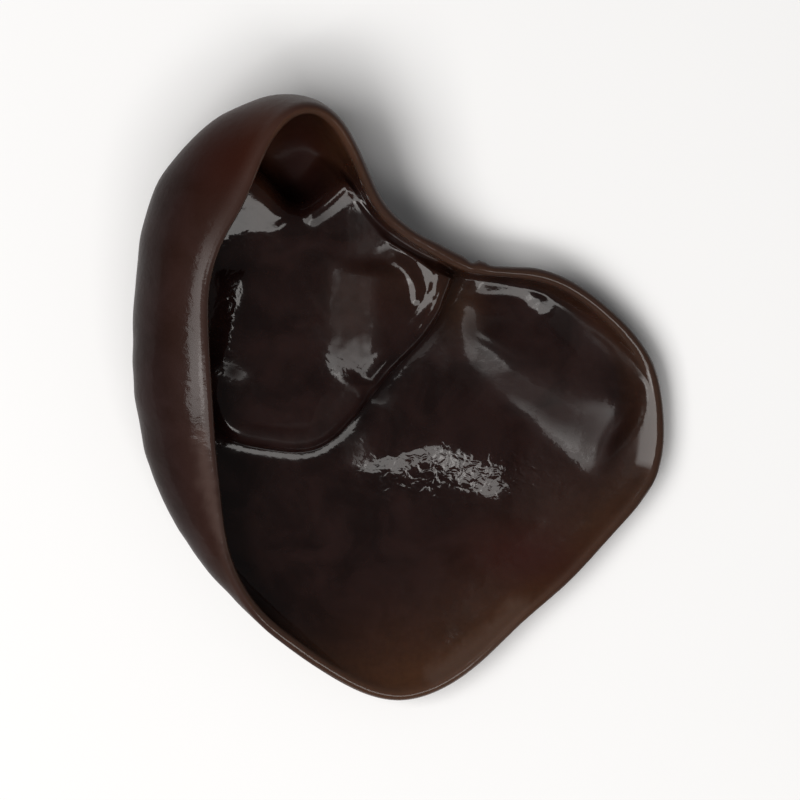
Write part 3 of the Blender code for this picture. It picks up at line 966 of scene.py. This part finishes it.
@dataclass
class WoodEar:
    """The ear: its coin, the carrying of the coin into its form, and its finishes."""

    form: EarForm = field(default_factory=EarForm)
    hollow: WetHollow = field(default_factory=WetHollow)
    back: FeltedBack = field(default_factory=FeltedBack)
    core_cells: int = 42  # cells along a side of the coin's square middle
    core_radius: float = 0.36
    rings: int = 32
    rim_share: float = 0.02  # share of the radius that the rounded margin takes
    rim_cells: int = 8
    crisp_band: float = 3.4  # the cells this near the pleat's foot line are halved once more
    crisp_tuck: float = 0.2  # where the flank is tucked at least this far
    back_share: float = 0.62  # faces further through the thickness than this have the back's finish
    back_only: float = 0.9  # points further through than this are the back's own
    edge_band: tuple[float, float] = (0.955, 0.99)  # shares of the radius between which the edge pales
    edge_tint: float = 0.32
    # painted amber glow of light through the thin margin, between these shares of the radius
    amber_band: tuple[float, float] = (0.86, 0.96)  # and between which the margin turns amber
    amber_margin: float = 0.25
    # the roll's pale band is a painted soft highlight
    roll_band: tuple[float, float] = (0.82, 0.88)  # and between which the roll's pale band starts
    thin_film: float = 0.15  # wetness of the back all over
    wettest: float = 0.8
    driest: float = 0.97
    # Painted amber glow of light through the thin flesh at the lower end, the tip, the top of the roll and
    # the notch's pinch; a warm tint on the knob and the pleat's back
    amber_glow_spots: tuple[Spot, ...] = (
        Spot(1.5, -31.0, 9.0, 0.58, 6.5),  # lower end
        Spot(13.5, -23.5, 7.5, 0.45),
        Spot(21.0, -14.5, 6.5, 0.25),
        # painted light: the funnel's left side lies in the roll's shade and is lightened here
        Spot(-14.8, 26.6, 2.0, 1.0, 4.5),  # funnel of the tip, its left and right sides
        Spot(-6.6, 28.0, 2.6, 0.5, 4.0),
        Spot(-15.0, 31.5, 7.0, 0.38, 5.0),  # top of the roll
        Spot(-18.2, 28.0, 3.2, 0.2, 4.5),
        Spot(6.4, 10.6, 2.6, 0.4, 3.6),  # pinch of the notch
        Spot(0.6, 13.2, 3.6, 0.16),  # knob
        Spot(-5.3, 10.2, 2.6, 0.12, 4.6),  # back of the pleat
    )
    ruddy_spots: tuple[Spot, ...] = (
        Spot(13.8, -17.2, 6.0, 0.8, 3.4),  # lower right of the field
        Spot(-18.0, 27.0, 5.0, 0.75, 6.0),  # top of the roll
        Spot(-10.6, 26.6, 3.4, 0.5, 4.0),  # funnel
    )
    # painted soft highlight along the lower margin of the hollow
    painted_sheen_hollow: Patch = Patch(  # along the lower margin
        ((3.0, -32.0), (10.0, -29.0), (15.0, -22.0), (12.6, -21.6), (8.6, -25.4), (3.0, -29.4)),
        1.6, 0.75, 0.4,
    )
    # painted soft highlight along the roll's margin, on the back
    painted_sheen_back: Patch = Patch(  # along the roll's margin
        ((-22.2, -2.5), (-21.6, -8.0), (-20.4, -13.0), (-17.8, -18.5), (-13.6, -24.0),
         (-13.0, -23.4), (-17.0, -17.6), (-19.3, -11.5), (-20.2, -6.0), (-20.8, -2.5)),
        1.6, 0.7, 0.3,
    )
    crinkle_spots: tuple[Spot, ...] = (  # where the skin is finely puckered
        Spot(6.0, -8.0, 8.5, 1.0, 2.6),  # field below the pleat
        Spot(-18.6, 8.5, 1.4, 0.5, 6.0),  # under the roll
        Spot(-6.4, 3.6, 2.2, 0.35, 2.6),  # on the pleat's ridge
        Spot(-16.0, 17.2, 3.4, 0.4, 1.0),  # foot of the shoulder below the funnel
    )
    drained_spots: tuple[Spot | Patch, ...] = (  # where the water has run off
        Spot(8.0, 7.5, 2.6, 0.9, 4.0),  # swelling of the right-hand lobe
        Spot(12.4, 1.8, 4.4, 0.95, 2.8),
        Spot(17.0, -1.6, 4.5, 0.85, 3.6),
        Spot(22.0, -5.0, 4.0, 0.62, 5.0),
        Spot(-5.6, 5.0, 3.4, 0.45),  # lower part of the pleat's back
        Spot(-5.4, 0.8, 1.7, 0.9),
        Spot(-4.6, -5.6, 1.5, 1.0),  # start of the step across the field
        Spot(-1.8, 0.6, 1.9, 1.1),  # below the pleat's edge
        Spot(-1.4, 15.3, 0.8, 1.3),  # between the folds of the knob
        Spot(-17.9, 3.2, 1.6, 1.0),  # foot of the roll
        Spot(-9.0, 19.4, 1.9, 0.5),  # start of the funnel's lip
        Patch(((-15.6, 25.0), (-11.6, 21.2), (-7.6, 22.6), (-5.2, 27.0), (-8.0, 31.4), (-13.0, 31.4)),
              1.4, 1.0),  # depth of the funnel
        Patch(((-5.6, 20.6), (-5.4, 14.6), (-3.2, 14.6), (-2.5, 16.6), (-1.2, 17.3), (-0.6, 19.6)),
              0.6, 1.0),  # above the knob
        Patch(((5.8, 10.8), (0.0, 4.4), (1.2, 2.4), (7.0, 9.2)), 0.9, 0.85),  # foot of the knob
        Patch(((17.4, 10.0), (16.4, 8.0), (21.0, 3.4), (25.0, 0.8), (26.4, 2.4), (22.8, 7.8)),
              0.8, 1.0),  # foot of the right-hand wall
        Patch(((10.6, 6.0), (13.6, 2.9), (19.0, 0.3), (24.0, -0.6), (24.6, 2.6), (18.0, 4.6),
               (12.0, 9.0)), 2.6, 0.8),  # upper edge of the lobe's swelling
        Patch(((6.0, 6.0), (6.4, 2.4), (12.0, -3.4), (18.2, -9.6), (20.4, -8.8), (16.0, -4.8),
               (11.0, 0.4), (7.8, 4.0)), 2.2, 0.5),  # its lower edge
        Patch(((20.8, -8.6), (22.6, -8.4), (24.4, -2.4), (23.4, -1.2), (21.8, -4.6)),
              0.9, 0.5),  # and its end
        Patch(((12.6, -4.0), (12.2, -13.0), (17.0, -13.0), (17.0, -6.0)), 1.2, 0.8, 0.3),  # step's end
        Patch(((-8.8, 6.4), (-2.0, 6.4), (-1.8, 15.4), (-8.6, 15.4)), 4.6, 1.0, 0.8),  # pleat's back
        Patch(((5.2, -24.2), (9.0, -28.6), (28.0, -12.6), (21.4, -8.0)), 2.4, 1.0, 0.4),  # lower right
        Patch(((22.2, -9.8), (28.4, -9.8), (28.1, -7.6), (25.6, -7.2), (25.9, -4.0), (26.7, -0.4),
               (25.2, -0.4), (23.4, -4.0)), 0.8, 1.0),  # inside the right-hand lip
        Patch(((-17.6, -4.9), (-9.3, -4.95), (-7.2, -4.0), (-4.2, -0.6), (-5.2, 1.6), (-8.4, 0.6),
               (-9.6, -2.4), (-17.2, -2.6)), 0.5, 1.0),  # crest of the pleat's lower edge
    )
    film_spots: tuple[Spot, ...] = (  # where the back is wetter, or drier
        Spot(-22.2, 3.6, 2.2, 0.62, 8.0),  # highlight along the roll's margin
        Spot(-20.9, 13.0, 1.5, 0.4, 4.0),
        Spot(-20.8, -9.0, 1.8, 0.5, 6.0),
        Spot(-18.6, 24.0, 6.0, -0.2, 6.5),  # dull top of the roll
    )

    def build(self) -> bpy.types.Object:
        """Builds the finished ear, riding on its body in place of its solid."""
        ear = self.model_coin()
        self.crispen(ear)
        through, radius = self.carry(ear)
        self.dress(ear, through, radius)
        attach(ear, "root")
        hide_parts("ear")
        return ear

    def model_coin(self) -> bpy.types.Object:
        """Models the coin: a round middle, grown ring by ring, thickened, with cells round its rim."""
        bare_selection()
        cells = self.core_cells
        bpy.ops.mesh.primitive_grid_add(x_subdivisions=cells, y_subdivisions=cells, size=2)
        coin = bpy.context.object
        coin.name = coin.data.name = "wood_ear"
        middle = self.read(coin)
        x, y = middle[:, 0].copy(), middle[:, 1].copy()
        middle[:, 0] = x * np.sqrt(1 - y * y / 2) * self.core_radius
        middle[:, 1] = y * np.sqrt(1 - x * x / 2) * self.core_radius
        self.write(coin, middle)

        bpy.ops.object.mode_set(mode="EDIT")
        bpy.ops.mesh.select_mode(type="EDGE")
        bpy.ops.mesh.select_all(action="DESELECT")
        bpy.ops.mesh.select_non_manifold(
            extend=False, use_wire=False, use_multi_face=False, use_non_contiguous=False, use_verts=False
        )
        start = self.core_radius
        grow = (1 - self.rim_share - start) / self.rings
        for ring in range(self.rings):
            bpy.ops.mesh.extrude_edges_move()
            wider = (start + (ring + 1) * grow) / (start + ring * grow)
            bpy.ops.transform.resize(value=(wider, wider, 1), center_override=(0, 0, 0))
        bpy.ops.mesh.select_all(action="SELECT")
        bpy.ops.mesh.subdivide(number_cuts=1)
        bpy.ops.object.mode_set(mode="OBJECT")

        flesh = coin.modifiers.new("flesh", "SOLIDIFY")
        flesh.thickness = 1.0
        flesh.offset = -1.0
        bpy.ops.object.modifier_apply(modifier=flesh.name)
        heights = self.read(coin)[self.edge_ends(coin), 2]
        self.select_edges(coin, np.abs(heights[:, 0] - heights[:, 1]) > 0.5)
        bpy.ops.object.mode_set(mode="EDIT")
        bpy.ops.mesh.subdivide(number_cuts=self.rim_cells - 1)
        bpy.ops.object.mode_set(mode="OBJECT")
        return coin

    def crispen(self, coin: bpy.types.Object) -> None:
        """Halves the cells of the inner face along the pleat's steep flank."""
        places = self.read(coin)
        flat = self.form.sheet.lay(places[:, :2])[1]
        distance, _, tuck, _ = self.form.pleat.measure(flat)
        near = (np.abs(distance) < self.crisp_band * MM) & (tuck > self.crisp_tuck) & (places[:, 2] > -1e-6)
        self.select_edges(coin, near[self.edge_ends(coin)].all(axis=1))
        bpy.ops.object.mode_set(mode="EDIT")
        bpy.ops.mesh.subdivide(number_cuts=1)
        bpy.ops.object.mode_set(mode="OBJECT")

    def carry(self, coin: bpy.types.Object) -> tuple[Points, Points]:
        """Carries the coin's points into the ear.

        Args:
            coin: The coin, which becomes the ear.

        Returns:
            How far through the thickness and how far out on the coin each point is.
        """
        points = self.read(coin)
        turn = math.pi * np.clip(-points[:, 2], 0, 1)
        through = (1 - np.cos(turn)) / 2
        radius = np.linalg.norm(points[:, :2], axis=-1)
        wider = 1 + self.rim_share * np.sin(turn) / np.maximum(radius, 1e-9)
        places = points[:, :2] * wider[:, None]
        self.write(coin, self.form.carry(places, through))
        coin.data.shade_smooth()
        return through, np.linalg.norm(places, axis=-1)

    def dress(self, ear: bpy.types.Object, through: Points, radius: Points) -> None:
        """Gives the ear its attributes and finishes.

        Args:
            ear: The ear.
            through: How far through the thickness each point is.
            radius: How far out on the coin each point is.
        """
        points = self.read(ear)
        edge = self.edge_tint * between(radius, *self.edge_band)
        # painted soft highlight bands along the margins, kept together with the paler edge
        painted_sheen_back = self.painted_sheen_back.weight(points) * between(radius, *self.roll_band)
        painted_sheen = np.where(through < 0.5, self.painted_sheen_hollow.weight(points), painted_sheen_back)
        # painted amber glow of light through the thin margin
        amber_margin = self.amber_margin * between(radius, *self.amber_band)
        tints = {
            "amber_glow": (summed(self.amber_glow_spots, points) + amber_margin, 1.0),
            # paler edge and painted soft highlight
            "rim_and_sheen": (np.maximum(edge, painted_sheen), 1.0),
            "ruddy": (summed(self.ruddy_spots, points), 1.0),
            "crinkle": (summed(self.crinkle_spots, points), 1.0),
            "drained": (summed(self.drained_spots, points), self.driest),
            "film": (self.thin_film + summed(self.film_spots, points), self.wettest),
            "cut": (self.form.base.cut(points) * (through > self.back_only), 1.0),
        }
        for name, (values, most) in tints.items():
            self.attribute(ear, name, np.clip(values, 0, most))

        ear.data.materials.clear()
        ear.data.materials.append(self.hollow.material())
        ear.data.materials.append(self.back.material())
        faces = [through[list(face.vertices)].mean() > self.back_share for face in ear.data.polygons]
        ear.data.polygons.foreach_set("material_index", np.array(faces, dtype=np.int32))

    def read(self, piece: bpy.types.Object) -> Points:
        """Gives the piece's points as rows."""
        points = np.empty(len(piece.data.vertices) * 3)
        piece.data.vertices.foreach_get("co", points)
        return points.reshape(-1, 3)

    def write(self, piece: bpy.types.Object, points: Points) -> None:
        """Moves the piece's points."""
        piece.data.vertices.foreach_set("co", points.ravel())
        piece.data.update()

    def attribute(self, piece: bpy.types.Object, name: str, values: Points) -> None:
        """Stores one number for each point, for the finishes to read."""
        stored = piece.data.attributes.new(name, "FLOAT", "POINT")
        stored.data.foreach_set("value", np.ascontiguousarray(values, dtype=np.float32))

    def edge_ends(self, piece: bpy.types.Object) -> Points:
        """Gives the numbers of the points at each edge's two ends, as rows."""
        ends = np.empty(len(piece.data.edges) * 2, dtype=np.int32)
        piece.data.edges.foreach_get("vertices", ends)
        return ends.reshape(-1, 2)

    def select_edges(self, piece: bpy.types.Object, picked: Points) -> None:
        """Selects some edges and nothing else.

        Args:
            piece: The piece, in object mode.
            picked: For each edge, whether it is selected.
        """
        mesh = piece.data
        mesh.polygons.foreach_set("select", np.zeros(len(mesh.polygons), dtype=bool))
        mesh.edges.foreach_set("select", picked)
        corners = np.zeros(len(mesh.vertices), dtype=bool)
        corners[self.edge_ends(piece)[picked].ravel()] = True
        mesh.vertices.foreach_set("select", corners)
        mesh.update()


@dataclass(frozen=True)
class Softbox:
    """One soft light: where it hangs, given from the ear, its size in metres and its brightness."""

    compass: float  # degrees, from +X towards +Y
    height: float  # degrees above the table
    distance: float
    size: tuple[float, float]
    radiance: float
    colour: Colour = (1.0, 0.98, 0.955)

    def hang(self, name: str, target: Vector) -> bpy.types.Object:
        """Hangs the light so that it faces the ear.

        Args:
            name: The light's name.
            target: The point that it faces.

        Returns:
            The light.
        """
        turn, up = math.radians(self.compass), math.radians(self.height)
        back = Vector((math.cos(turn) * math.cos(up), math.sin(turn) * math.cos(up), math.sin(up)))
        lamp = bpy.data.lights.new(name, "AREA")
        lamp.shape = "RECTANGLE"
        lamp.size, lamp.size_y = self.size
        lamp.energy = self.radiance * math.pi * self.size[0] * self.size[1]
        lamp.color = self.colour
        light = bpy.data.objects.new(name, lamp)
        bpy.context.scene.collection.objects.link(light)
        light.location = target + back * self.distance
        light.rotation_euler = (-back).to_track_quat("-Z", "Y").to_euler()
        return light


@dataclass
class Studio:
    """The pale table, the softboxes, the dim room and the camera."""

    table: PaleTable = field(default_factory=PaleTable)
    table_size: float = 3.0
    target: Vector = field(default_factory=lambda: Vector((0.0, 0.0, 0.006)))
    camera_place: tuple[float, float, float] = (-0.032, 0.0465, 0.8)  # where the photograph was taken from
    frame_height: float = 0.086  # how much of the table the picture's height takes in
    sensor: float = 36.0
    room: float = 0.125
    softboxes: tuple[Softbox, ...] = (
        Softbox(194, 60, 1.0, (0.80, 0.54), 5.8),
        Softbox(-92, 62, 1.0, (0.85, 0.27), 5.0),
    )

    def build(self) -> None:
        """Builds the whole studio."""
        self.lay_table()
        for number, softbox in enumerate(self.softboxes):
            softbox.hang(f"softbox_{number}", self.target)
        self.light_room()
        self.place_camera()

    def lay_table(self) -> None:
        """Lays the table under the ear."""
        bare_selection()
        bpy.ops.mesh.primitive_plane_add(size=self.table_size, location=(0, 0, 0))
        floor = bpy.context.object
        floor.name = "table"
        floor.data.materials.append(self.table.material())

    def light_room(self) -> None:
        """Gives the room its dim even light."""
        world = bpy.data.worlds.new("room")
        world.use_nodes = True
        background = world.node_tree.nodes["Background"]
        background.inputs["Color"].default_value = (1, 1, 1, 1)
        background.inputs["Strength"].default_value = self.room
        bpy.context.scene.world = world
        bpy.context.scene.view_settings.view_transform = "Standard"

    def place_camera(self) -> None:
        """Places the camera over the ear, with the tip at the top of the picture."""
        lens = bpy.data.cameras.new("camera")
        camera = bpy.data.objects.new("camera", lens)
        bpy.context.scene.collection.objects.link(camera)
        place = Vector(self.camera_place)
        look = (self.target - place).normalized()
        right = look.cross(Vector((0, 1, 0))).normalized()
        up = right.cross(look)
        camera.matrix_world = Matrix.LocRotScale(place, Matrix((right, up, -look)).transposed(), None)
        lens.sensor_width = self.sensor
        lens.lens = self.sensor * (self.target - place).length / self.frame_height
        lens.clip_start = 0.01
        bpy.context.scene.camera = camera


def main() -> None:
    """Builds the ear and its studio."""
    logging.basicConfig(level=logging.INFO, format="%(name)s: %(message)s")
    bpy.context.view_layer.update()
    ear = WoodEar().build()
    LOG.info("ear: %d points, %d faces", len(ear.data.vertices), len(ear.data.polygons))
    Studio().build()
    LOG.info("studio: table, softboxes, room and camera")


if __name__ == "__main__":
    main()
